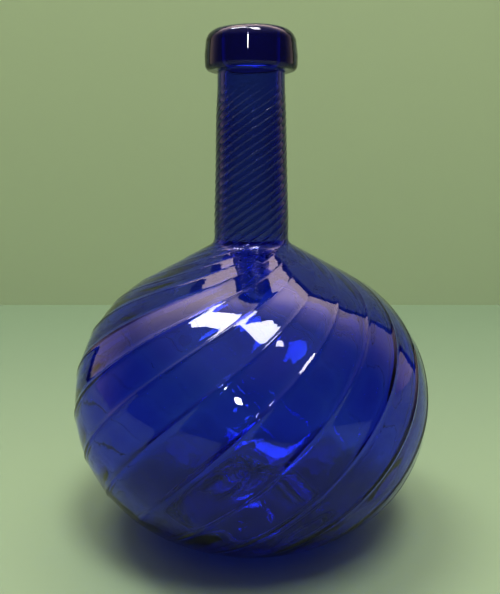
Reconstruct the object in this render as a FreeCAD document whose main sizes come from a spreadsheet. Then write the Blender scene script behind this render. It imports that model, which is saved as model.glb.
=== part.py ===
import FreeCAD, Part
import math
import os
import PartDesign
import Sketcher
from FreeCAD import Vector

# Antique glass bottle: a swirl-ribbed globular body, a ribbed neck, a collar laid on the neck's end
# and the ring of glass that the pontil rod left in the push-up.
# Frame: millimetres, +Z up, the bottle's axis on Z and its resting ring on Z = 0.

doc = FreeCAD.newDocument("AntiqueGlassBottle")

# ---------------------------------------------------------------- driving dimensions

SIZES = {
    # body outline: two tangent arcs that meet at the belly, a straight shoulder, a small fillet
    "belly_radius": 67.0,
    "belly_height": 49.0,
    "lower_arc": 51.5,
    "upper_arc": 53.5,
    "shoulder_slope": 28.0,
    "neck_fillet": 3.0,
    # base
    "foot_outer": 29.5,
    "foot_inner": 26.0,
    "push_up": 14.0,
    "base_wall": 5.0,
    "valley_round": 4.0,
    "body_wall": 2.8,
    # neck
    "neck_base": 13.6,
    "neck_top": 11.75,
    "neck_bore_base": 10.8,
    "bore": 9.0,
    "bore_start": 150.0,
    # collar
    "collar_under": 168.9,
    "collar_waist": 174.0,
    "total_height": 182.4,
    "collar_radius": 16.0,
    "collar_top_radius": 15.6,
    "under_round": 1.8,
    "crown_round": 4.6,
    "lip_round": 1.4,
    # ribs
    "rib_count": 18,
    "rib_rise": 0.48,
    "crease_rib_rise": 0.06,
    "neck_rib_rise": 0.18,
    "body_lean": 46.5,
    "neck_lean": 57.5,
    # pontil scar
    "scar_ring": 7.5,
    "scar_bead": 1.4,
}

sheet = doc.addObject("Spreadsheet::Sheet", "Sizes")
for row, (alias, value) in enumerate(SIZES.items(), start=1):
    sheet.set("A%d" % row, alias)
    sheet.set("B%d" % row, str(value))
    sheet.setAlias("B%d" % row, alias)
doc.recompute()


def size(alias):
    """A driving dimension as the sheet holds it."""
    return float(sheet.get(alias))


def bind(thing, **expressions):
    """Ties each named property of an object to an expression over the sheet's cells."""
    for name, expression in expressions.items():
        thing.setExpression(name, expression)


# ---------------------------------------------------------------- outline of the body


class Arc:
    """A stretch of outline on a circle, from one angle to another (degrees in the R-Z plane)."""

    def __init__(self, centre, radius, start, end):
        self.centre = centre
        self.radius = radius
        self.start = start
        self.end = end

    def at(self, share):
        angle = math.radians(self.start + (self.end - self.start) * share)
        return (self.centre[0] + self.radius * math.cos(angle),
                self.centre[1] + self.radius * math.sin(angle))


class Line:
    """A straight stretch of outline between two points of the R-Z plane."""

    def __init__(self, first, last):
        self.first = first
        self.last = last

    def at(self, share):
        return (self.first[0] + (self.last[0] - self.first[0]) * share,
                self.first[1] + (self.last[1] - self.first[1]) * share)


def body_outline():
    """The body's outer outline from the foot to the foot of the neck, as tangent stretches."""
    belly_height = size("belly_height")
    lower_arc = size("lower_arc")
    upper_arc = size("upper_arc")
    slope = size("shoulder_slope")
    fillet = size("neck_fillet")
    foot = size("foot_outer")
    lower_centre = (size("belly_radius") - lower_arc, belly_height)
    upper_centre = (size("belly_radius") - upper_arc, belly_height)
    # The heel's arc leaves the foot plane level and runs into the lower arc from inside it.
    offset = foot - lower_centre[0]
    heel = (lower_arc ** 2 - offset ** 2 - belly_height ** 2) / (2.0 * (lower_arc - belly_height))
    heel_end = -math.degrees(math.atan2(belly_height - heel, offset))
    shoulder_end = 90.0 - slope
    top_of_arc = Arc(upper_centre, upper_arc, 0.0, shoulder_end)
    slope_start = top_of_arc.at(1.0)
    # The fillet touches the shoulder's slope and then stands upright at the neck's radius.
    tangent = fillet * math.tan(math.radians(shoulder_end / 2.0))
    corner_height = slope_start[1] + (slope_start[0] - size("neck_base")) * math.tan(math.radians(slope))
    seam = corner_height + tangent
    fillet_arc = Arc((size("neck_base") + fillet, seam), fillet, 180.0 + shoulder_end, 180.0)
    return {
        "heel": Arc((foot, heel), heel, -90.0, heel_end),
        "lower": Arc(lower_centre, lower_arc, heel_end, 0.0),
        "upper": top_of_arc,
        "slope": Line(slope_start, fillet_arc.at(0.0)),
        "fillet": fillet_arc,
        "seam": seam,
    }


def stations(stretch, steps):
    """The points that divide a stretch of outline into equal steps, without its first."""
    return [stretch.at(step / steps) for step in range(1, steps + 1)]


# ---------------------------------------------------------------- swirled ribs

POLES_PER_RIB = 6
# Rise of the control points across one rib and its panel, as shares of the rib's rise. A narrow
# crest stands between two broad panels.
RIB_FORM = (1.4, 0.2, 0.0, 0.0, 0.0, 0.2)
# Where the ribs fade in above the heel, and where they give way to the plain top of the neck.
RIB_FADE_IN = (4.0, 26.0)
RIB_FADE_OUT = (156.0, 167.0)
# Heights between which the ribs sink towards the crease, rise again on the neck and lean further.
SHOULDER_BLEND = (70.0, 106.0)
NECK_BLEND = (111.0, 119.0)
LEAN_BLEND = (98.0, 116.0)
# Where the first rib crosses the belly, in degrees from +X.
FIRST_RIB = -83.0
# How many rows of control points each stretch of outline takes.
BODY_STEPS = {"heel": 2, "lower": 11, "upper": 11, "slope": 8, "fillet": 4}
NECK_STEPS = 24
# Slices of one step over which a rib's turn is added up.
TURN_SLICES = 24
# Largest height of an edge that counts as level, and the gap closed between a side and its caps.
LEVEL = 0.001
CLOSED = 0.0001


def blend(value, low, high):
    """A smooth step from 0 at low to 1 at high."""
    share = min(max((value - low) / (high - low), 0.0), 1.0)
    return share * share * (3.0 - 2.0 * share)


def rib_rise(height):
    """How far a rib stands above its panels at a height."""
    crease_rise = size("crease_rib_rise")
    rise = size("rib_rise") + (crease_rise - size("rib_rise")) * blend(height, *SHOULDER_BLEND)
    rise += (size("neck_rib_rise") - crease_rise) * blend(height, *NECK_BLEND)
    return rise * blend(height, *RIB_FADE_IN) * (1.0 - blend(height, *RIB_FADE_OUT))


def rib_turn(radius, height, length):
    """The angle in radians that a rib turns round the axis over a short length of outline."""
    lean = size("body_lean") + (size("neck_lean") - size("body_lean")) * blend(height, *LEAN_BLEND)
    return math.tan(math.radians(lean)) * length / radius


def rib_angles(points):
    """The first rib's angle at each point of an outline, starting from 0."""
    angles = [0.0]
    for (radius_a, height_a), (radius_b, height_b) in zip(points, points[1:]):
        length = math.hypot(radius_b - radius_a, height_b - height_a) / TURN_SLICES
        turn = 0.0
        for number in range(TURN_SLICES):
            share = (number + 0.5) / TURN_SLICES
            radius = radius_a + (radius_b - radius_a) * share
            height = height_a + (height_b - height_a) * share
            turn += rib_turn(radius, height, length)
        angles.append(angles[-1] + turn)
    return angles


def swirled_solid(points, angles):
    """A solid whose side is one smooth ribbed surface through an outline, with level ends."""
    count = int(size("rib_count")) * POLES_PER_RIB
    step = 2.0 * math.pi / count
    # Control points of a round section stand off it by this factor.
    stand_off = 1.0 + step * step / 6.0
    rows = []
    for (radius, height), angle in zip(points, angles):
        row = []
        for pole in range(count):
            rise = rib_rise(height) * RIB_FORM[pole % POLES_PER_RIB]
            reach = (radius + rise) * stand_off
            turn = angle + pole * step
            row.append(Vector(reach * math.cos(turn), reach * math.sin(turn), height))
        rows.append(row)
    # Along the outline, too, a control point stands off the curve: by a sixth of the bend there.
    poles = [rows[0]]
    for before, row, after in zip(rows, rows[1:], rows[2:]):
        poles.append([point - (low - point * 2.0 + high) / 6.0
                      for low, point, high in zip(before, row, after)])
    poles.append(rows[-1])
    around = [list(column) for column in zip(*poles)]
    spans = len(poles) - 3
    surface = Part.BSplineSurface()
    surface.buildFromPolesMultsKnots(
        around,
        [1] * (count + 1),
        [4] + [1] * (spans - 1) + [4],
        [float(knot) for knot in range(count + 1)],
        [float(knot) for knot in range(spans + 1)],
        True,
        False,
        3,
        3,
    )
    side = surface.toShape()
    ends = [edge for edge in side.Edges if edge.BoundBox.ZLength < LEVEL]
    caps = [Part.Face(Part.Wire([edge])) for edge in ends]
    solid = Part.Solid(Part.Shell([side] + caps))
    solid.fix(CLOSED, CLOSED, CLOSED)
    if solid.Volume < 0.0:
        solid.reverse()
    return solid


def form(name, shape):
    """A named shape of the document that later features cut."""
    feature = doc.addObject("Part::Feature", name)
    feature.Shape = shape
    return feature


outline = body_outline()
body_points = [outline["heel"].at(0.0)]
for stretch, steps in BODY_STEPS.items():
    body_points += stations(outline[stretch], steps)
neck_side = Line((size("neck_base"), outline["seam"]), (size("neck_top"), size("collar_under")))
neck_points = [neck_side.at(0.0)] + stations(neck_side, NECK_STEPS)

body_angles = rib_angles(body_points)
belly_row = BODY_STEPS["heel"] + BODY_STEPS["lower"]
start = math.radians(FIRST_RIB) - body_angles[belly_row]
body_angles = [start + angle for angle in body_angles]
neck_angles = [body_angles[-1] + angle for angle in rib_angles(neck_points)]

# ---------------------------------------------------------------- sketches and revolved bodies

START, END, CENTRE = 1, 2, 3
ORIGIN = (-1, 1)


def sheet_value(expression):
    """The number that an expression over the sheet's cells comes to."""
    return float(sheet.evalExpression(expression))


def origin_plane(body, role):
    """One of a body's own origin planes."""
    return next(plane for plane in body.Origin.OriginFeatures if plane.Role == role)


def upright_sketch(body, name):
    """A sketch on a body's X-Z plane, with the radius along its first axis and the height along its second."""
    sketch = body.newObject("Sketcher::SketchObject", name)
    sketch.AttachmentSupport = (origin_plane(body, "XZ_Plane"), [""])
    sketch.MapMode = "FlatFace"
    return sketch


def add_arc(sketch, arc):
    """Adds an arc to a sketch. Its start is the end with the smaller angle."""
    low, high = sorted((math.radians(arc.start), math.radians(arc.end)))
    circle = Part.Circle(Vector(arc.centre[0], arc.centre[1], 0), Vector(0, 0, 1), arc.radius)
    return sketch.addGeometry(Part.ArcOfCircle(circle, low, high), False)


def add_line(sketch, first, last):
    """Adds a straight line to a sketch."""
    segment = Part.LineSegment(Vector(first[0], first[1], 0), Vector(last[0], last[1], 0))
    return sketch.addGeometry(segment, False)


def dimension(sketch, kind, where, value, expression):
    """Adds a dimension with its value and ties it to an expression over the sheet's cells."""
    index = sketch.addConstraint(Sketcher.Constraint(kind, *where, value))
    sketch.setExpression("Constraints[%d]" % index, expression)


def revolve(body, sketch, name):
    """Turns a sketch once round the bottle's axis."""
    turned = body.newObject("PartDesign::Revolution", name)
    turned.Profile = sketch
    turned.ReferenceAxis = (sketch, ["V_Axis"])
    turned.Angle = 360.0
    doc.recompute()


def polygon_body(name, corners):
    """A body revolved from straight edges. Each corner is two expressions, a radius and a height."""
    body = doc.addObject("PartDesign::Body", name)
    sketch = upright_sketch(body, name + "Outline")
    places = [(sheet_value(radius), sheet_value(height)) for radius, height in corners]
    lines = [add_line(sketch, place, places[(index + 1) % len(places)])
             for index, place in enumerate(places)]
    for line, following in zip(lines, lines[1:] + lines[:1]):
        sketch.addConstraint(Sketcher.Constraint("Coincident", line, END, following, START))
    for line, place, corner in zip(lines, places, corners):
        dimension(sketch, "DistanceX", ORIGIN + (line, START), place[0], corner[0])
        dimension(sketch, "DistanceY", ORIGIN + (line, START), place[1], corner[1])
    revolve(body, sketch, name + "Turned")
    return body



# ---------------------------------------------------------------- expressions shared by features

# The sphere that hollows the base meets the resting ring's inner edge and rises to the push-up.
DOME_RADIUS = "((Sizes.foot_inner * Sizes.foot_inner + Sizes.push_up * Sizes.push_up) / (2 * Sizes.push_up))"
DOME_HEIGHT = "(Sizes.push_up - %s)" % DOME_RADIUS
# The level where the body ends and the neck begins, at the top of the fillet between them.
SEAM = (
    "(Sizes.belly_height + Sizes.upper_arc * cos(Sizes.shoulder_slope * 1deg)"
    " + (Sizes.belly_radius - Sizes.upper_arc * (1 - sin(Sizes.shoulder_slope * 1deg)) - Sizes.neck_base)"
    " * tan(Sizes.shoulder_slope * 1deg)"
    " + Sizes.neck_fillet * tan(45deg - Sizes.shoulder_slope * 0.5deg))"
)

# ---------------------------------------------------------------- bulb: body, shoulder and push-up base


def between_circles(centre_a, reach_a, centre_b, reach_b):
    """The outer of the two points at given distances from two centres."""
    gap = math.hypot(centre_b[0] - centre_a[0], centre_b[1] - centre_a[1])
    along = (reach_a ** 2 - reach_b ** 2 + gap ** 2) / (2.0 * gap)
    aside = math.sqrt(reach_a ** 2 - along ** 2)
    unit = ((centre_b[0] - centre_a[0]) / gap, (centre_b[1] - centre_a[1]) / gap)
    return (centre_a[0] + unit[0] * along + unit[1] * aside,
            centre_a[1] + unit[1] * along - unit[0] * aside)


def bearing(centre, point):
    """The direction in degrees from one point to another in the R-Z plane, from 0 to 360."""
    return math.degrees(math.atan2(point[1] - centre[1], point[0] - centre[0])) % 360.0


def cavity_body():
    """The hollow of the body: the outline set in by the wall, over a domed floor with a rounded valley."""
    wall = size("body_wall")
    body = doc.addObject("PartDesign::Body", "Cavity")
    sketch = upright_sketch(body, "CavityOutline")
    dome_centre = (0.0, sheet_value(DOME_HEIGHT))
    dome_reach = sheet_value(DOME_RADIUS) + size("base_wall")
    valley_round = size("valley_round")
    lower_centre = outline["lower"].centre
    lower_reach = outline["lower"].radius - wall
    valley_centre = between_circles(
        dome_centre, dome_reach + valley_round, lower_centre, lower_reach - valley_round)
    upper = outline["upper"]
    fillet = outline["fillet"]
    seam = outline["seam"]
    dome_arc = Arc(dome_centre, dome_reach, bearing(dome_centre, valley_centre), 90.0)
    lower_start = bearing(lower_centre, valley_centre)
    valley_arc = Arc(valley_centre, valley_round, bearing(valley_centre, dome_centre), lower_start)
    inner_upper = Arc(upper.centre, upper.radius - wall, upper.start, upper.end)
    inner_fillet = Arc(fillet.centre, fillet.radius + wall, fillet.end, fillet.start)

    dome = add_arc(sketch, dome_arc)
    valley = add_arc(sketch, valley_arc)
    lower = add_arc(sketch, Arc(lower_centre, lower_reach, lower_start - 360.0, 0.0))
    upper = add_arc(sketch, inner_upper)
    slope = add_line(sketch, inner_upper.at(1.0), inner_fillet.at(1.0))
    throat = add_arc(sketch, inner_fillet)
    top = add_line(sketch, inner_fillet.at(0.0), (0.0, seam))
    axis = add_line(sketch, (0.0, seam), (0.0, dome_arc.at(1.0)[1]))

    for first, first_end, second, second_end in (
        (dome, START, valley, START),
        (valley, END, lower, START),
        (lower, END, upper, START),
        (upper, END, slope, START),
        (slope, END, throat, END),
    ):
        sketch.addConstraint(Sketcher.Constraint("Tangent", first, first_end, second, second_end))
    for first, first_end, second, second_end in (
        (throat, START, top, START),
        (top, END, axis, START),
        (axis, END, dome, END),
    ):
        sketch.addConstraint(Sketcher.Constraint("Coincident", first, first_end, second, second_end))
    sketch.addConstraint(Sketcher.Constraint("Horizontal", top))
    sketch.addConstraint(Sketcher.Constraint("Vertical", axis))
    sketch.addConstraint(Sketcher.Constraint("PointOnObject", axis, START, -2))
    sketch.addConstraint(Sketcher.Constraint("PointOnObject", dome, CENTRE, -2))
    sketch.addConstraint(Sketcher.Constraint("Horizontal", throat, CENTRE, throat, START))
    for element, value, expression in (
        (dome, dome_reach, "%s + Sizes.base_wall" % DOME_RADIUS),
        (valley, valley_round, "Sizes.valley_round"),
        (lower, lower_reach, "Sizes.lower_arc - Sizes.body_wall"),
        (upper, inner_upper.radius, "Sizes.upper_arc - Sizes.body_wall"),
        (throat, inner_fillet.radius, "Sizes.neck_fillet + Sizes.body_wall"),
    ):
        dimension(sketch, "Radius", (element,), value, expression)
    for kind, element, value, expression in (
        ("DistanceY", dome, dome_centre[1], DOME_HEIGHT),
        ("DistanceX", lower, lower_centre[0], "Sizes.belly_radius - Sizes.lower_arc"),
        ("DistanceY", lower, lower_centre[1], "Sizes.belly_height"),
        ("DistanceY", upper, lower_centre[1], "Sizes.belly_height"),
        ("DistanceX", throat, fillet.centre[0], "Sizes.neck_base + Sizes.neck_fillet"),
    ):
        dimension(sketch, kind, ORIGIN + (element, CENTRE), value, expression)
    dimension(sketch, "Angle", (slope,), math.radians(180.0 - size("shoulder_slope")),
              "(180 - Sizes.shoulder_slope) * 1deg")
    revolve(body, sketch, "CavityTurned")
    return body


def cut(name, base, tool):
    """One shape of the document with another taken out of it."""
    feature = doc.addObject("Part::Cut", name)
    feature.Base = base
    feature.Tool = tool
    return feature


bulb_form = form("BulbForm", swirled_solid(body_points, body_angles))
cavity = cavity_body()

push_up = doc.addObject("Part::Sphere", "PushUp")
bind(push_up, Radius=DOME_RADIUS)
push_up.setExpression(".Placement.Base.z", DOME_HEIGHT)

hollow_bulb = cut("HollowBulb", bulb_form, cavity)
bulb = cut("Bulb", hollow_bulb, push_up)
bulb.Label = "bulb"

# ---------------------------------------------------------------- neck: tapered tube with a straight mouth

neck_form = form("NeckForm", swirled_solid(neck_points, neck_angles))

neck_taper = doc.addObject("Part::Cone", "NeckTaper")
bind(neck_taper, Radius1="Sizes.neck_bore_base", Radius2="Sizes.bore", Height="Sizes.bore_start - %s" % SEAM)
neck_taper.setExpression(".Placement.Base.z", SEAM)

neck_mouth = doc.addObject("Part::Cylinder", "NeckMouth")
bind(neck_mouth, Radius="Sizes.bore", Height="Sizes.collar_under - Sizes.bore_start")
neck_mouth.setExpression(".Placement.Base.z", "Sizes.bore_start")

tapered_neck = cut("TaperedNeck", neck_form, neck_taper)
neck = cut("Neck", tapered_neck, neck_mouth)
neck.Label = "neck"

# ---------------------------------------------------------------- collar: the ring laid on the neck's end


def edge_at(shape, radius, height):
    """The name of the circular edge of a given radius at a given height."""
    for number, edge in enumerate(shape.Edges, start=1):
        middle = edge.BoundBox.Center
        level = edge.BoundBox.ZLength < LEVEL and abs(middle.z - height) < LEVEL
        if level and abs(edge.BoundBox.XLength / 2.0 - radius) < LEVEL:
            return "Edge%d" % number
    raise ValueError("no edge of radius %s at height %s" % (radius, height))


def round_edge(body, name, radius, height, rounding):
    """Rounds the circular edge of a body at a radius and height by the sheet's cell."""
    base = body.Tip
    fillet = body.newObject("PartDesign::Fillet", name)
    fillet.Base = (base, [edge_at(base.Shape, size(radius), size(height))])
    fillet.setExpression("Radius", "Sizes." + rounding)
    body.Tip = fillet
    doc.recompute()


collar = polygon_body("Collar", [
    ("Sizes.bore", "Sizes.collar_under"),
    ("Sizes.collar_radius", "Sizes.collar_under"),
    ("Sizes.collar_radius", "Sizes.collar_waist"),
    ("Sizes.collar_top_radius", "Sizes.total_height"),
    ("Sizes.bore", "Sizes.total_height"),
])
round_edge(collar, "UnderRound", "collar_radius", "collar_under", "under_round")
round_edge(collar, "CrownRound", "collar_top_radius", "total_height", "crown_round")
round_edge(collar, "LipRound", "bore", "total_height", "lip_round")
collar.Label = "collar"

# ---------------------------------------------------------------- pontil scar: a bead of glass in the push-up

scar_ring = doc.addObject("Part::Torus", "ScarRing")
bind(scar_ring, Radius1="Sizes.scar_ring", Radius2="Sizes.scar_bead")
scar_ring.setExpression(
    ".Placement.Base.z",
    "%s + sqrt(%s * %s - Sizes.scar_ring * Sizes.scar_ring)" % (DOME_HEIGHT, DOME_RADIUS, DOME_RADIUS))
scar_limit = doc.addObject("Part::Sphere", "ScarLimit")
bind(scar_limit, Radius=DOME_RADIUS)
scar_limit.setExpression(".Placement.Base.z", DOME_HEIGHT)
scar = doc.addObject("Part::Common", "PontilScar")
scar.Base = scar_ring
scar.Tool = scar_limit
scar.Label = "pontil_scar"

# ---------------------------------------------------------------- checks and files

doc.recompute()
for item in doc.Objects:
    if "Invalid" in item.State or "Error" in item.State:
        raise RuntimeError("%s did not build: %s" % (item.Name, item.State))

os.makedirs("parts", exist_ok=True)
for node in (bulb, neck, collar, scar):
    shape = node.Shape
    if shape.isNull() or not shape.isValid() or len(shape.Solids) != 1:
        raise RuntimeError("%s is not one valid solid" % node.Label)
    shape.exportStep("parts/%s.step" % node.Label)
    print("%s: %.1f cm3, from %.2f to %.2f mm" % (
        node.Label, shape.Volume / 1000.0, shape.BoundBox.ZMin, shape.BoundBox.ZMax))
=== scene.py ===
import math

import bpy
import numpy as np
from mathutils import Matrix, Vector


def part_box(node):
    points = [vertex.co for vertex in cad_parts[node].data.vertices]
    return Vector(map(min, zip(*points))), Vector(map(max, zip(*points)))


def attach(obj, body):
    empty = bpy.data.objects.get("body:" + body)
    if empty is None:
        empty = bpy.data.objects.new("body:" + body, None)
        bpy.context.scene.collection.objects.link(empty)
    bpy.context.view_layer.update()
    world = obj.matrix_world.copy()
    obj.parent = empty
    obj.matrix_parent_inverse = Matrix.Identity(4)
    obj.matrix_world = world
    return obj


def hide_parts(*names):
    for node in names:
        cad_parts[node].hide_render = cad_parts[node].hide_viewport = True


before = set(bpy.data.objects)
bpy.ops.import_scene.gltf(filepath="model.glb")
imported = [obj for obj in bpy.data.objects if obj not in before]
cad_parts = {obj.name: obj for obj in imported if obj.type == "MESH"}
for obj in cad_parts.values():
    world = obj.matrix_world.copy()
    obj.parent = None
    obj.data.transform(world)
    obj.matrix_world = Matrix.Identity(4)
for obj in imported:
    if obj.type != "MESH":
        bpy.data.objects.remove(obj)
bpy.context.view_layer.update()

# The whole scene is in metres, in the CAD frame: the bottle stands on Z = 0 with its axis on Z, and
# its front looks along -Y.

MM = 0.001

# ---------------------------------------------------------------- sizes

NECK_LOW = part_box("neck")[0]
COLLAR_LOW, COLLAR_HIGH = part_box("collar")

# Outline of the body: two arcs that meet at the belly, a straight shoulder and a small fillet.
SEAM = NECK_LOW[2]
BELLY_RADIUS = 67.0 * MM
BELLY_HEIGHT = 49.0 * MM
LOWER_ARC = 51.5 * MM
UPPER_ARC = 53.5 * MM
SHOULDER_SLOPE = 28.0
NECK_FILLET = 3.0 * MM
BODY_WALL = 2.8 * MM

# Base: a resting ring round a domed push-up.
FOOT_OUTER = 29.5 * MM
FOOT_INNER = 26.0 * MM
FOOT_ROUND = 0.8 * MM
PUSH_UP = 14.0 * MM
BASE_WALL = 5.0 * MM
VALLEY_ROUND = 4.0 * MM

# Neck and bore.
NECK_END = COLLAR_LOW[2]
NECK_BASE = 13.6 * MM
NECK_TOP = 11.75 * MM
BORE = 9.0 * MM
BORE_START = 150.0 * MM

# Collar.
COLLAR_UNDER = COLLAR_LOW[2]
COLLAR_WAIST = 174.0 * MM
COLLAR_TOP = COLLAR_HIGH[2]
COLLAR_RADIUS = 16.0 * MM
COLLAR_TOP_RADIUS = 15.6 * MM
UNDER_ROUND = 1.8 * MM
CROWN_ROUND = 4.6 * MM
LIP_ROUND = 1.4 * MM

# Pontil scar.
SCAR_RING = 7.5 * MM
SCAR_BEAD = 1.4 * MM
# The bead's depth varies from a least share by up to a spread, and its skin is rough by a share.
SCAR_LEAST_DEPTH = 0.55
SCAR_DEPTH_SPREAD = 0.40
SCAR_ROUGHNESS = 0.22
SCAR_COLUMNS = 72
SCAR_TOP_ROWS = 5
SCAR_UNDER_ROWS = 8
SCAR_SEED = 5

# Ribs. Leans are in degrees from upright. The first rib crosses the belly at an angle from +X.
RIB_COUNT = 18
RIB_RISE = 0.48 * MM
CREASE_RIB_RISE = 0.06 * MM
NECK_RIB_RISE = 0.18 * MM
BODY_LEAN = 46.5
NECK_LEAN = 57.5
FIRST_RIB = -83.0
# A rib's form in pitches: its crest's rounding and width, and the share of the rise that is crest.
# The rest of the rise is a shallow scoop from crest to crest.
CREST_ROUND = 0.012
CREST_WIDTH = 0.045
CREST_PART = 0.6
# How much of the ribs the inside follows, away from the cavity.
BULB_INSIDE_RIBS = -1.0
NECK_INSIDE_RIBS = -0.6
# Heights between which the ribs fade in, fade out below the collar, sink towards the crease, rise
# again on the neck, and lean further. The push-up's upper part is high enough for faint ribs too.
RIB_FADE_IN = (4.0 * MM, 26.0 * MM)
RIB_FADE_OUT = (156.0 * MM, 167.0 * MM)
SHOULDER_BLEND = (70.0 * MM, 106.0 * MM)
NECK_BLEND = (111.0 * MM, 119.0 * MM)
LEAN_BLEND = (98.0 * MM, 116.0 * MM)

# Where hand-made unevenness dies away: towards the axis, the foot, the neck's end, the bore and the
# collar's joint with the neck.
CALM_AXIS = (0.5 * MM, 6.0 * MM)
CALM_FOOT = (0.0, 6.0 * MM)
CALM_END = (160.0 * MM, 168.0 * MM)
CALM_BORE = (BORE, BORE + 3.0 * MM)
CALM_JOINT = (COLLAR_UNDER, COLLAR_UNDER + 4.0 * MM)

# Each rib's pitch has a few columns of mesh, closest together at its crest.
PITCH_COLUMNS = 14
CREST_CROWDING = 0.75
# Steps along the outlines, and along the path on which the swirl is added up.
BODY_STEP = 1.1 * MM
INSIDE_STEP = 1.6 * MM
COLLAR_STEP = 0.35 * MM
SWIRL_STEP = 0.25 * MM
# Faces that meet at more than this angle in degrees keep a sharp edge.
SHARP_ANGLE = 50.0
# Nominal space between neighbouring pieces, before ribs and waves move their surfaces.
GAP = 0.01 * MM

# ---------------------------------------------------------------- outlines


class Arc:
    """A stretch of outline on a circle, from one angle to another in degrees of the R-Z plane."""

    def __init__(self, centre, radius, start, end):
        self.centre = centre
        self.radius = radius
        self.start = start
        self.end = end

    def length(self):
        return abs(math.radians(self.end - self.start)) * self.radius

    def at(self, share):
        angle = math.radians(self.start + (self.end - self.start) * share)
        return (self.centre[0] + self.radius * math.cos(angle),
                self.centre[1] + self.radius * math.sin(angle))


class Line:
    """A straight stretch of outline between two points of the R-Z plane."""

    def __init__(self, first, last):
        self.first = first
        self.last = last

    def length(self):
        return math.hypot(self.last[0] - self.first[0], self.last[1] - self.first[1])

    def at(self, share):
        return (self.first[0] + (self.last[0] - self.first[0]) * share,
                self.first[1] + (self.last[1] - self.first[1]) * share)


def trace(stretches, step):
    """Points along joined stretches, about one step apart."""
    points = [stretches[0].at(0.0)]
    for stretch in stretches:
        count = max(2, int(math.ceil(stretch.length() / step)))
        points += [stretch.at(number / count) for number in range(1, count + 1)]
    return points


def bearing(centre, point):
    """The direction in degrees from one point to another in the R-Z plane, from 0 to 360."""
    return math.degrees(math.atan2(point[1] - centre[1], point[0] - centre[0])) % 360.0


def between_circles(centre_a, reach_a, centre_b, reach_b):
    """The outer of the two points at given distances from two centres."""
    gap = math.hypot(centre_b[0] - centre_a[0], centre_b[1] - centre_a[1])
    along = (reach_a ** 2 - reach_b ** 2 + gap ** 2) / (2.0 * gap)
    aside = math.sqrt(reach_a ** 2 - along ** 2)
    unit = ((centre_b[0] - centre_a[0]) / gap, (centre_b[1] - centre_a[1]) / gap)
    return (centre_a[0] + unit[0] * along + unit[1] * aside,
            centre_a[1] + unit[1] * along - unit[0] * aside)


LOWER_CENTRE = (BELLY_RADIUS - LOWER_ARC, BELLY_HEIGHT)
UPPER_CENTRE = (BELLY_RADIUS - UPPER_ARC, BELLY_HEIGHT)
SHOULDER_END = 90.0 - SHOULDER_SLOPE
FILLET_CENTRE = (NECK_BASE + NECK_FILLET, SEAM)
DOME_RADIUS = (FOOT_INNER ** 2 + PUSH_UP ** 2) / (2.0 * PUSH_UP)
DOME_CENTRE = (0.0, PUSH_UP - DOME_RADIUS)


def dome_height(radius):
    """Height of the push-up's underside at a radius."""
    return DOME_CENTRE[1] + np.sqrt(DOME_RADIUS ** 2 - radius ** 2)


def bulb_outside():
    """The body's outer outline from the top of the push-up, over the foot, to the neck."""
    offset = FOOT_OUTER - LOWER_CENTRE[0]
    heel = (LOWER_ARC ** 2 - offset ** 2 - BELLY_HEIGHT ** 2) / (2.0 * (LOWER_ARC - BELLY_HEIGHT))
    heel_end = -math.degrees(math.atan2(BELLY_HEIGHT - heel, offset))
    upper = Arc(UPPER_CENTRE, UPPER_ARC, 0.0, SHOULDER_END)
    fillet = Arc(FILLET_CENTRE, NECK_FILLET, 180.0 + SHOULDER_END, 180.0)
    # The push-up's dome runs into the resting ring over a small round.
    round_reach = math.sqrt((DOME_RADIUS + FOOT_ROUND) ** 2 - (FOOT_ROUND - DOME_CENTRE[1]) ** 2)
    round_centre = (round_reach, FOOT_ROUND)
    dome = Arc(DOME_CENTRE, DOME_RADIUS, 90.0, bearing(DOME_CENTRE, round_centre))
    foot_round = Arc(round_centre, FOOT_ROUND, bearing(round_centre, DOME_CENTRE), 270.0)
    return [
        dome,
        foot_round,
        Line(foot_round.at(1.0), (FOOT_OUTER, 0.0)),
        Arc((FOOT_OUTER, heel), heel, -90.0, heel_end),
        Arc(LOWER_CENTRE, LOWER_ARC, heel_end, 0.0),
        upper,
        Line(upper.at(1.0), fillet.at(0.0)),
        fillet,
    ]


def bulb_inside():
    """The body's inner outline from the neck down to the middle of the domed floor."""
    upper = Arc(UPPER_CENTRE, UPPER_ARC - BODY_WALL, SHOULDER_END, 0.0)
    fillet = Arc(FILLET_CENTRE, NECK_FILLET + BODY_WALL, 180.0, 180.0 + SHOULDER_END)
    dome_reach = DOME_RADIUS + BASE_WALL
    lower_reach = LOWER_ARC - BODY_WALL
    valley_centre = between_circles(
        DOME_CENTRE, dome_reach + VALLEY_ROUND, LOWER_CENTRE, lower_reach - VALLEY_ROUND)
    lower_end = bearing(LOWER_CENTRE, valley_centre)
    return [
        fillet,
        Line(fillet.at(1.0), upper.at(0.0)),
        upper,
        Arc(LOWER_CENTRE, lower_reach, 360.0, lower_end),
        Arc(valley_centre, VALLEY_ROUND, lower_end, bearing(valley_centre, DOME_CENTRE)),
        Arc(DOME_CENTRE, dome_reach, bearing(DOME_CENTRE, valley_centre), 90.0),
    ]


# ---------------------------------------------------------------- ribs and hand-made unevenness


def smooth_step(value, low, high):
    """A smooth step from 0 at low to 1 at high, for numbers or arrays."""
    share = np.clip((value - low) / (high - low), 0.0, 1.0)
    return share * share * (3.0 - 2.0 * share)


def rib_rise(height):
    """How far a rib stands above its panels at a height: least at the crease below the neck."""
    rise = RIB_RISE + (CREASE_RIB_RISE - RIB_RISE) * smooth_step(height, *SHOULDER_BLEND)
    rise = rise + (NECK_RIB_RISE - CREASE_RIB_RISE) * smooth_step(height, *NECK_BLEND)
    return rise * smooth_step(height, *RIB_FADE_IN) * (1.0 - smooth_step(height, *RIB_FADE_OUT))


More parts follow.
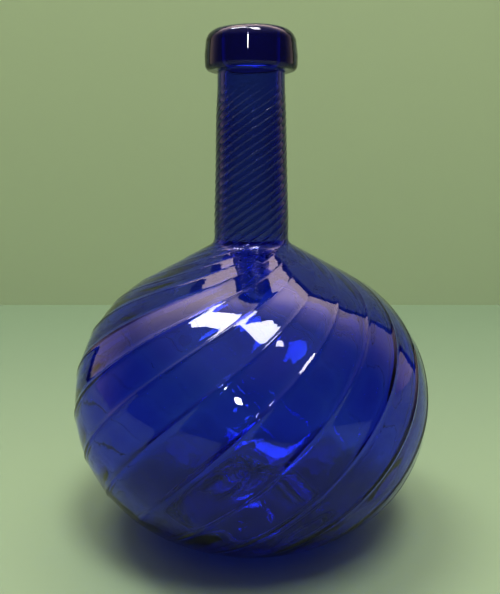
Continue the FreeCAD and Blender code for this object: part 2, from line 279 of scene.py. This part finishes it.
def swirl_table():
    """The first rib's angle against height, from the foot to the end of the neck."""
    # The swirl is added up from the heel: the first three stretches are the push-up and the foot.
    outside = trace(bulb_outside()[3:], SWIRL_STEP)
    neck = trace([Line((NECK_BASE, SEAM), (NECK_TOP, NECK_END))], SWIRL_STEP)
    points = np.array(outside + neck[1:])
    middle = (points[1:] + points[:-1]) / 2.0
    length = np.hypot(*np.diff(points, axis=0).T)
    lean = BODY_LEAN + (NECK_LEAN - BODY_LEAN) * smooth_step(middle[:, 1], *LEAN_BLEND)
    turn = np.tan(np.radians(lean)) * length / middle[:, 0]
    angles = np.concatenate([[0.0], np.cumsum(turn)])
    angles -= np.interp(BELLY_HEIGHT, points[:, 1], angles)
    return points[:, 1], angles + math.radians(FIRST_RIB)


SWIRL_HEIGHTS, SWIRL_ANGLES = swirl_table()


def swirl(height):
    """The angle at which the first rib stands at a height."""
    return np.interp(height, SWIRL_HEIGHTS, SWIRL_ANGLES)


def rib_form(share):
    """Height of a rib across its pitch, from 0 in the middle of a panel to 1 at the crest."""
    distance = np.abs((share + 0.5) % 1.0 - 0.5)
    scoop = (1.0 - 2.0 * np.sqrt(distance ** 2 + CREST_ROUND ** 2)) ** 2
    crest = np.exp(-(distance / CREST_WIDTH) ** 2)
    return (1.0 - CREST_PART) * scoop + CREST_PART * crest


def soft_rib_form(share):
    """The inside's softer waves under the ribs."""
    return 0.5 + 0.5 * np.cos(2.0 * math.pi * share)


def column_shares():
    """Where the mesh columns stand round the axis, in rib pitches from the first crest."""
    even = np.arange(RIB_COUNT * PITCH_COLUMNS) / PITCH_COLUMNS
    return even - CREST_CROWDING * np.sin(2.0 * math.pi * even) / (2.0 * math.pi)


SHARES = column_shares()
COLUMNS = len(SHARES)


class Waves:
    """Slow unevenness of blown glass: a few seeded waves of given length and height."""

    def __init__(self, seed, count, lengths, height):
        random = np.random.default_rng(seed)
        directions = random.normal(size=(count, 3))
        directions /= np.linalg.norm(directions, axis=1)[:, None]
        self.waves = directions * (2.0 * math.pi / random.uniform(*lengths, size=count))[:, None]
        self.phases = random.uniform(0.0, 2.0 * math.pi, size=count)
        self.height = height / math.sqrt(count)

    def at(self, points):
        return self.height * np.sin(points @ self.waves.T + self.phases).sum(axis=1)


OUTER_WAVES = Waves(seed=3, count=14, lengths=(22 * MM, 70 * MM), height=0.10 * MM)
INNER_WAVES = Waves(seed=11, count=18, lengths=(14 * MM, 60 * MM), height=0.22 * MM)
COLLAR_WAVES = Waves(seed=7, count=10, lengths=(11 * MM, 36 * MM), height=0.08 * MM)


def body_unevenness(radius, height):
    """Share of the waves that body and neck show: none on the axis, the foot and the neck's end."""
    return (smooth_step(radius, *CALM_AXIS) * smooth_step(height, *CALM_FOOT)
            * (1.0 - smooth_step(height, *CALM_END)))


def collar_unevenness(radius, height):
    """Share of the waves that the collar shows: none in the bore and where it meets the neck."""
    return smooth_step(radius, *CALM_BORE) * smooth_step(height, *CALM_JOINT)


# ---------------------------------------------------------------- meshes


class Wall:
    """A smooth stretch of outline, with how much of the ribs and of which waves it carries."""

    def __init__(self, points, ribs, waves, form=rib_form, unevenness=body_unevenness):
        self.outline = np.array(points)
        self.ribs = ribs
        self.waves = waves
        self.form = form
        self.unevenness = unevenness

    def grid(self):
        """Points of the wall turned round the axis, one row for each outline point."""
        tangent = np.gradient(self.outline, axis=0)
        tangent /= np.linalg.norm(tangent, axis=1)[:, None]
        radius = self.outline[:, 0][:, None]
        height = self.outline[:, 1][:, None]
        angle = swirl(height) + SHARES[None, :] * 2.0 * math.pi / RIB_COUNT
        offset = self.ribs * rib_rise(height) * self.form(SHARES)[None, :]
        even = np.stack(
            [radius * np.cos(angle), radius * np.sin(angle), height + 0.0 * angle], axis=2)
        uneven = self.waves.at(even.reshape(-1, 3)).reshape(angle.shape)
        offset = offset + uneven * self.unevenness(radius, height)
        reach = radius + tangent[:, 1][:, None] * offset
        level = height - tangent[:, 0][:, None] * offset
        return np.stack([reach * np.cos(angle), reach * np.sin(angle), level], axis=2)


def turned_piece(name, walls, on_axis=False):
    """A closed piece made of walls one after another.

    On the axis, its first and last rows are single points.
    """
    grid = np.concatenate([wall.grid() for wall in walls])
    rows = len(grid)
    if on_axis:
        vertices = np.concatenate([grid[0, :1], grid[1:-1].reshape(-1, 3), grid[-1, :1]])
        rings = rows - 2
        start = 1
        bands = rings - 1
    else:
        vertices = grid.reshape(-1, 3)
        rings = rows
        start = 0
        bands = rings
    here = np.arange(COLUMNS)
    beside = (here + 1) % COLUMNS
    faces = []
    for band in range(bands):
        low = start + band * COLUMNS
        high = start + (band + 1) % rings * COLUMNS
        faces += np.stack([low + here, low + beside, high + beside, high + here], axis=1).tolist()
    if on_axis:
        last = len(vertices) - 1
        below = last - COLUMNS
        faces += np.stack([0 * here, start + beside, start + here], axis=1).tolist()
        faces += np.stack([below + here, below + beside, 0 * here + last], axis=1).tolist()
    mesh = bpy.data.meshes.new(name)
    mesh.from_pydata(vertices.tolist(), [], faces)
    mesh.polygons.foreach_set("use_smooth", [True] * len(mesh.polygons))
    mesh.set_sharp_from_angle(angle=math.radians(SHARP_ANGLE))
    piece = bpy.data.objects.new(name, mesh)
    bpy.context.scene.collection.objects.link(piece)
    return piece


def make_bulb():
    """The hollow body, from its push-up and foot to the crease at the neck."""
    return turned_piece("blown_body", [
        Wall(trace(bulb_outside(), BODY_STEP), 1.0, OUTER_WAVES),
        Wall(trace(bulb_inside(), INSIDE_STEP), BULB_INSIDE_RIBS, INNER_WAVES, soft_rib_form),
    ], on_axis=True)


def make_neck():
    """The ribbed neck, with the bore through it."""
    bottom = SEAM + GAP
    inner_base = NECK_BASE - BODY_WALL
    outside = [Line((NECK_BASE, bottom), (NECK_TOP, NECK_END))]
    inside = [
        Line((BORE, NECK_END), (BORE, BORE_START)),
        Line((BORE, BORE_START), (inner_base, bottom)),
    ]
    return turned_piece("drawn_neck", [
        Wall(trace(outside, BODY_STEP), 1.0, OUTER_WAVES),
        Wall(trace(inside, INSIDE_STEP), NECK_INSIDE_RIBS, INNER_WAVES, soft_rib_form),
    ])


def make_collar():
    """The band of glass laid on the neck's end, rounded at the mouth and underneath."""
    bottom = COLLAR_UNDER + GAP
    taper = math.degrees(math.atan2(COLLAR_TOP - COLLAR_WAIST, COLLAR_RADIUS - COLLAR_TOP_RADIUS))
    crown_centre = (COLLAR_TOP_RADIUS - CROWN_ROUND, COLLAR_TOP - CROWN_ROUND)
    lip_centre = (BORE + LIP_ROUND, COLLAR_TOP - LIP_ROUND)
    under_centre = (COLLAR_RADIUS - UNDER_ROUND, COLLAR_UNDER + UNDER_ROUND)
    under = Arc(under_centre, UNDER_ROUND, 270.0, 360.0)
    crown = Arc(crown_centre, CROWN_ROUND, 90.0 - taper, 90.0)
    lip = Arc(lip_centre, LIP_ROUND, 90.0, 180.0)
    outer = trace([
        Line((NECK_TOP, bottom), under.at(0.0)),
        under,
        Line(under.at(1.0), (COLLAR_RADIUS, COLLAR_WAIST)),
        Line((COLLAR_RADIUS, COLLAR_WAIST), crown.at(0.0)),
        crown,
        Line(crown.at(1.0), lip.at(0.0)),
        lip,
    ], COLLAR_STEP)
    inner = trace([
        Line(lip.at(1.0), (BORE, bottom)),
        Line((BORE, bottom), (NECK_TOP, bottom)),
    ], INSIDE_STEP)
    # The inner stretch starts and ends on points that the outer stretch already has.
    return turned_piece("laid_on_collar", [
        Wall(outer + inner[1:-1], 0.0, COLLAR_WAVES, unevenness=collar_unevenness),
    ])


def make_scar():
    """The ring of glass that the pontil rod left under the push-up, broken off rough."""
    random = np.random.default_rng(SCAR_SEED)
    angles = np.arange(SCAR_COLUMNS) * 2.0 * math.pi / SCAR_COLUMNS
    depth = SCAR_BEAD * (SCAR_LEAST_DEPTH + SCAR_DEPTH_SPREAD * random.random(SCAR_COLUMNS))
    rows = []
    for share in np.linspace(0.0, 1.0, SCAR_TOP_ROWS):
        reach = SCAR_RING - SCAR_BEAD + 2.0 * SCAR_BEAD * share + 0.0 * angles
        rows.append((reach, dome_height(reach) - GAP))
    for turn in np.linspace(0.0, math.pi, SCAR_UNDER_ROWS)[1:-1]:
        rough = 1.0 - SCAR_ROUGHNESS * random.random(SCAR_COLUMNS)
        reach = SCAR_RING + SCAR_BEAD * math.cos(turn) * rough
        rows.append((reach, dome_height(reach) - GAP - depth * math.sin(turn) * rough))
    vertices = []
    for reach, height in rows:
        ring = np.stack([reach * np.cos(angles), reach * np.sin(angles), height], axis=1)
        vertices += ring.tolist()
    faces = []
    for row in range(len(rows)):
        low = row * SCAR_COLUMNS
        high = (row + 1) % len(rows) * SCAR_COLUMNS
        for column in range(SCAR_COLUMNS):
            beside = (column + 1) % SCAR_COLUMNS
            faces.append((low + beside, low + column, high + column))
            faces.append((low + beside, high + column, high + beside))
    mesh = bpy.data.meshes.new("pontil_mark")
    mesh.from_pydata(vertices, [], faces)
    piece = bpy.data.objects.new("pontil_mark", mesh)
    bpy.context.scene.collection.objects.link(piece)
    return piece


# ---------------------------------------------------------------- materials

# Roughness of polished and of worn glass. Wear ends at a height, and scuffs break up its edge.
POLISHED = 0.003
WORN = 0.38
WEAR_HEIGHT = 1.6 * MM
WEAR_BREAK = 1.2 * MM
GLASS_TINT = (0.93, 0.95, 1.0, 1.0)
GLASS_IOR = 1.52


def node(tree, kind, **inputs):
    """Adds a node and sets its named inputs."""
    made = tree.nodes.new(kind)
    for name, value in inputs.items():
        made.inputs[name.replace("_", " ")].default_value = value
    return made


def clear_glass(name, absorption, density):
    """Glass that is clear on its skin and takes its colour from what it absorbs inside."""
    material = bpy.data.materials.new(name)
    material.use_nodes = True
    tree = material.node_tree
    shader = tree.nodes["Principled BSDF"]
    shader.inputs["Base Color"].default_value = GLASS_TINT
    shader.inputs["IOR"].default_value = GLASS_IOR
    shader.inputs["Transmission Weight"].default_value = 1.0
    volume = node(tree, "ShaderNodeVolumeAbsorption", Color=(*absorption, 1.0), Density=density)
    tree.links.new(volume.outputs["Volume"], tree.nodes["Material Output"].inputs["Volume"])
    return material


def cobalt_glass(name, absorption, density):
    """Fire-polished cobalt glass with a faintly uneven skin, worn matt on the resting ring."""
    material = clear_glass(name, absorption, density)
    tree = material.node_tree
    links = tree.links
    shader = tree.nodes["Principled BSDF"]

    # Slow ripples all over, and fine cords drawn out along the height.
    place = node(tree, "ShaderNodeTexCoord")
    stretch = node(tree, "ShaderNodeMapping", Scale=(1.0, 1.0, 0.22))
    ripple = node(tree, "ShaderNodeTexNoise", Scale=90.0, Detail=3.0, Roughness=0.45)
    cords = node(tree, "ShaderNodeTexNoise", Scale=420.0, Detail=2.0, Roughness=0.5)
    ripple_bump = node(tree, "ShaderNodeBump", Strength=0.12, Distance=0.0006)
    cord_bump = node(tree, "ShaderNodeBump", Strength=0.10, Distance=0.00012)
    links.new(place.outputs["Object"], ripple.inputs["Vector"])
    links.new(place.outputs["Object"], stretch.inputs["Vector"])
    links.new(stretch.outputs["Vector"], cords.inputs["Vector"])
    links.new(ripple.outputs["Fac"], ripple_bump.inputs["Height"])
    links.new(cords.outputs["Fac"], cord_bump.inputs["Height"])
    links.new(ripple_bump.outputs["Normal"], cord_bump.inputs["Normal"])
    links.new(cord_bump.outputs["Normal"], shader.inputs["Normal"])

    # Wear on the resting ring: matt at the very bottom, breaking up a little higher.
    height = node(tree, "ShaderNodeSeparateXYZ")
    scuffs = node(tree, "ShaderNodeTexNoise", Scale=1500.0, Detail=4.0, Roughness=0.6)
    breaking = tree.nodes.new("ShaderNodeMath")
    breaking.operation = "MULTIPLY_ADD"
    breaking.inputs[1].default_value = -WEAR_BREAK
    wear = node(tree, "ShaderNodeMapRange")
    wear.inputs["From Min"].default_value = WEAR_HEIGHT
    wear.inputs["From Max"].default_value = -WEAR_BREAK
    wear.inputs["To Min"].default_value = POLISHED
    wear.inputs["To Max"].default_value = WORN
    links.new(place.outputs["Object"], height.inputs["Vector"])
    links.new(place.outputs["Object"], scuffs.inputs["Vector"])
    links.new(scuffs.outputs["Fac"], breaking.inputs[0])
    links.new(height.outputs["Z"], breaking.inputs[2])
    links.new(breaking.outputs["Value"], wear.inputs["Value"])
    links.new(wear.outputs["Result"], shader.inputs["Roughness"])
    return material


def broken_glass(name, absorption, density):
    """Cobalt glass with a rough broken skin."""
    material = clear_glass(name, absorption, density)
    tree = material.node_tree
    links = tree.links
    shader = tree.nodes["Principled BSDF"]
    place = node(tree, "ShaderNodeTexCoord")
    grain = node(tree, "ShaderNodeTexNoise", Scale=900.0, Detail=5.0, Roughness=0.65)
    bump = node(tree, "ShaderNodeBump", Strength=0.6, Distance=0.0004)
    matt = node(tree, "ShaderNodeMapRange")
    matt.inputs["To Min"].default_value = 0.08
    matt.inputs["To Max"].default_value = 0.45
    links.new(place.outputs["Object"], grain.inputs["Vector"])
    links.new(grain.outputs["Fac"], bump.inputs["Height"])
    links.new(grain.outputs["Fac"], matt.inputs["Value"])
    links.new(bump.outputs["Normal"], shader.inputs["Normal"])
    links.new(matt.outputs["Result"], shader.inputs["Roughness"])
    return material


def matt_surface(name, colour):
    """A plain matt surface."""
    material = bpy.data.materials.new(name)
    material.use_nodes = True
    shader = material.node_tree.nodes["Principled BSDF"]
    shader.inputs["Base Color"].default_value = (*colour, 1.0)
    shader.inputs["Roughness"].default_value = 0.75
    shader.inputs["Specular IOR Level"].default_value = 0.3
    return material


# ---------------------------------------------------------------- studio

# The floor and, behind the bottle, a backdrop edged with near-black sheets of painted shade, which
# stand in for the shadow gap beyond the backdrop's edges; the glass mirrors them as thin dark
# lines.
FLOOR_COLOUR = (0.275, 0.37, 0.232)
WALL_COLOUR = (0.56, 0.67, 0.42)
PAINTED_SHADE_COLOUR = (0.015, 0.015, 0.02)
FLOOR_REACH = 3.0
FLOOR_LEVEL = -0.02 * MM
BACKDROP_Y = 0.394
BACKDROP_HALF = 0.55
BACKDROP_TOP = 0.66
SHADE_BAND_WIDTH = 0.07

# The room's colour against how far a direction points to the back, from -1 in front to 1 behind.
ROOM_COLOURS = [
    (-1.0, (0.12, 0.105, 0.13)),
    (-0.25, (0.11, 0.10, 0.13)),
    (0.0, (0.12, 0.12, 0.16)),
    (0.22, (0.42, 0.34, 0.35)),
    (0.42, (1.00, 0.79, 0.66)),
    (1.0, (1.20, 0.94, 0.79)),
]
# Upward part of a direction between which the room grows to its full strength overhead.
OVERHEAD_BLEND = (0.45, 0.95)
OVERHEAD_STRENGTH = 5.6

# Lamps: name, place, width, depth, power in watts, and whether it lights matt surfaces. The small
# lamps don't: they only glint on the glass.
LAMP_TARGET = (0.0, 0.0, 0.08)
LAMP_COLOUR = (1.0, 0.97, 0.95)
LAMPS = [
    ("lamp_left", (-0.57, 0.10, 2.0), 0.35, 0.70, 15.0, True),
    ("lamp_right", (0.25, -0.50, 2.0), 0.50, 0.85, 26.0, True),
    ("small_lamp_high", (-0.23, -1.35, 1.25), 0.09, 0.09, 1.1, False),
    ("small_lamp_low", (-0.20, -1.55, 0.80), 0.09, 0.09, 1.1, False),
]

CAMERA_PLACE = (-0.43 * MM, -246.4 * MM, 139.4 * MM)
CAMERA_TILT = 14.435
CAMERA_SENSOR = 36.0
CAMERA_LENS = 40.26
CAMERA_SHIFT = 0.0556
CAMERA_NEAR = 0.01


def sheet_mesh(name, corners, material):
    """A flat stage sheet through its corners."""
    mesh = bpy.data.meshes.new(name)
    mesh.from_pydata(corners, [], [tuple(range(len(corners)))])
    mesh.materials.append(material)
    made = bpy.data.objects.new(name, mesh)
    bpy.context.scene.collection.objects.link(made)


def soft_light(name, place, width, depth, power, lights_stage):
    """A rectangular soft light that faces the bottle."""
    light = bpy.data.lights.new(name, "AREA")
    light.shape = "RECTANGLE"
    light.size = width
    light.size_y = depth
    light.energy = power
    light.color = LAMP_COLOUR
    made = bpy.data.objects.new(name, light)
    made.location = place
    facing = Vector(LAMP_TARGET) - Vector(place)
    made.rotation_euler = facing.to_track_quat("-Z", "Y").to_euler()
    made.visible_diffuse = lights_stage
    bpy.context.scene.collection.objects.link(made)


def upright_sheet(name, left, right, bottom, top, material):
    """A sheet that stands behind the bottle and faces it."""
    sheet_mesh(name, [(left, BACKDROP_Y, bottom), (right, BACKDROP_Y, bottom),
                      (right, BACKDROP_Y, top), (left, BACKDROP_Y, top)], material)


def make_stage():
    """A plain floor, and a plain backdrop edged with near-black sheets of painted shade."""
    floor = matt_surface("pale_floor", FLOOR_COLOUR)
    wall = matt_surface("pale_wall", WALL_COLOUR)
    # Near-black painted shade for the bands round the backdrop, standing in for the shadow gap at
    # its edges.
    dark = matt_surface("painted_shade_band", PAINTED_SHADE_COLOUR)
    sheet_mesh("floor", [
        (-FLOOR_REACH, -FLOOR_REACH, FLOOR_LEVEL),
        (FLOOR_REACH, -FLOOR_REACH, FLOOR_LEVEL),
        (FLOOR_REACH, FLOOR_REACH, FLOOR_LEVEL),
        (-FLOOR_REACH, FLOOR_REACH, FLOOR_LEVEL),
    ], floor)
    half = BACKDROP_HALF
    painted_shade_half = BACKDROP_HALF + SHADE_BAND_WIDTH
    painted_shade_top = BACKDROP_TOP + SHADE_BAND_WIDTH
    upright_sheet("backdrop", -half, half, FLOOR_LEVEL, BACKDROP_TOP, wall)
    # The three dark bands beside and above the backdrop are painted shade, not a real frame.
    upright_sheet("painted_shade_left", -painted_shade_half, -half, FLOOR_LEVEL, painted_shade_top, dark)
    upright_sheet("painted_shade_right", half, painted_shade_half, FLOOR_LEVEL, painted_shade_top, dark)
    upright_sheet("painted_shade_top", -half, half, BACKDROP_TOP, painted_shade_top, dark)


def make_world():
    """A room that is warm and bright beyond the backdrop and overhead, and dim in front."""
    world = bpy.data.worlds.new("room")
    world.use_nodes = True
    tree = world.node_tree
    links = tree.links
    background = tree.nodes["Background"]
    direction = node(tree, "ShaderNodeTexCoord")
    parts = node(tree, "ShaderNodeSeparateXYZ")
    depth = node(tree, "ShaderNodeMapRange", From_Min=-1.0)
    ramp = node(tree, "ShaderNodeValToRGB")
    stops = ramp.color_ramp.elements
    while len(stops) < len(ROOM_COLOURS):
        stops.new(0.5)
    for stop, (behind, colour) in zip(stops, ROOM_COLOURS):
        stop.position = (behind + 1.0) / 2.0
        stop.color = (*colour, 1.0)
    overhead = node(
        tree, "ShaderNodeMapRange", From_Min=OVERHEAD_BLEND[0], From_Max=OVERHEAD_BLEND[1],
        To_Min=1.0, To_Max=OVERHEAD_STRENGTH)
    overhead.interpolation_type = "SMOOTHSTEP"
    links.new(direction.outputs["Generated"], parts.inputs["Vector"])
    links.new(parts.outputs["Y"], depth.inputs["Value"])
    links.new(depth.outputs["Result"], ramp.inputs["Fac"])
    links.new(parts.outputs["Z"], overhead.inputs["Value"])
    links.new(ramp.outputs["Color"], background.inputs["Color"])
    links.new(overhead.outputs["Result"], background.inputs["Strength"])
    bpy.context.scene.world = world


def make_camera():
    """A camera that looks slightly down at the bottle's front."""
    camera = bpy.data.cameras.new("camera")
    camera.sensor_width = CAMERA_SENSOR
    camera.lens = CAMERA_LENS
    camera.shift_y = CAMERA_SHIFT
    camera.clip_start = CAMERA_NEAR
    made = bpy.data.objects.new("camera", camera)
    made.location = CAMERA_PLACE
    made.rotation_euler = (math.radians(90.0 - CAMERA_TILT), 0.0, 0.0)
    bpy.context.scene.collection.objects.link(made)
    bpy.context.scene.camera = made


def set_up_render():
    """Enough bounces for light to pass through both walls of the glass, and deeper dark tones."""
    scene = bpy.context.scene
    scene.view_settings.view_transform = "Standard"
    scene.view_settings.gamma = 0.80
    scene.cycles.max_bounces = 24
    scene.cycles.transmission_bounces = 20
    scene.cycles.glossy_bounces = 8
    scene.cycles.diffuse_bounces = 4
    scene.cycles.caustics_refractive = True
    scene.cycles.caustics_reflective = True
    scene.cycles.sample_clamp_indirect = 6.0
    scene.cycles.use_denoising = True


# ---------------------------------------------------------------- the bottle

body_glass = cobalt_glass("body_glass", (0.03, 0.29, 0.945), 690.0)
neck_glass = cobalt_glass("neck_glass", (0.03, 0.25, 0.81), 650.0)
collar_glass = cobalt_glass("collar_glass", (0.04, 0.22, 0.83), 600.0)
scar_glass = broken_glass("scar_glass", (0.03, 0.29, 0.945), 690.0)

bulb = make_bulb()
bulb.data.materials.append(body_glass)
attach(bulb, "root")
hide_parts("bulb")

neck = make_neck()
neck.data.materials.append(neck_glass)
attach(neck, "root")
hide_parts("neck")

collar = make_collar()
collar.data.materials.append(collar_glass)
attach(collar, "root")
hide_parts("collar")

scar = make_scar()
scar.data.materials.append(scar_glass)
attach(scar, "root")
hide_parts("pontil_scar")

make_stage()
make_world()
for lamp in LAMPS:
    soft_light(*lamp)
make_camera()
set_up_render()
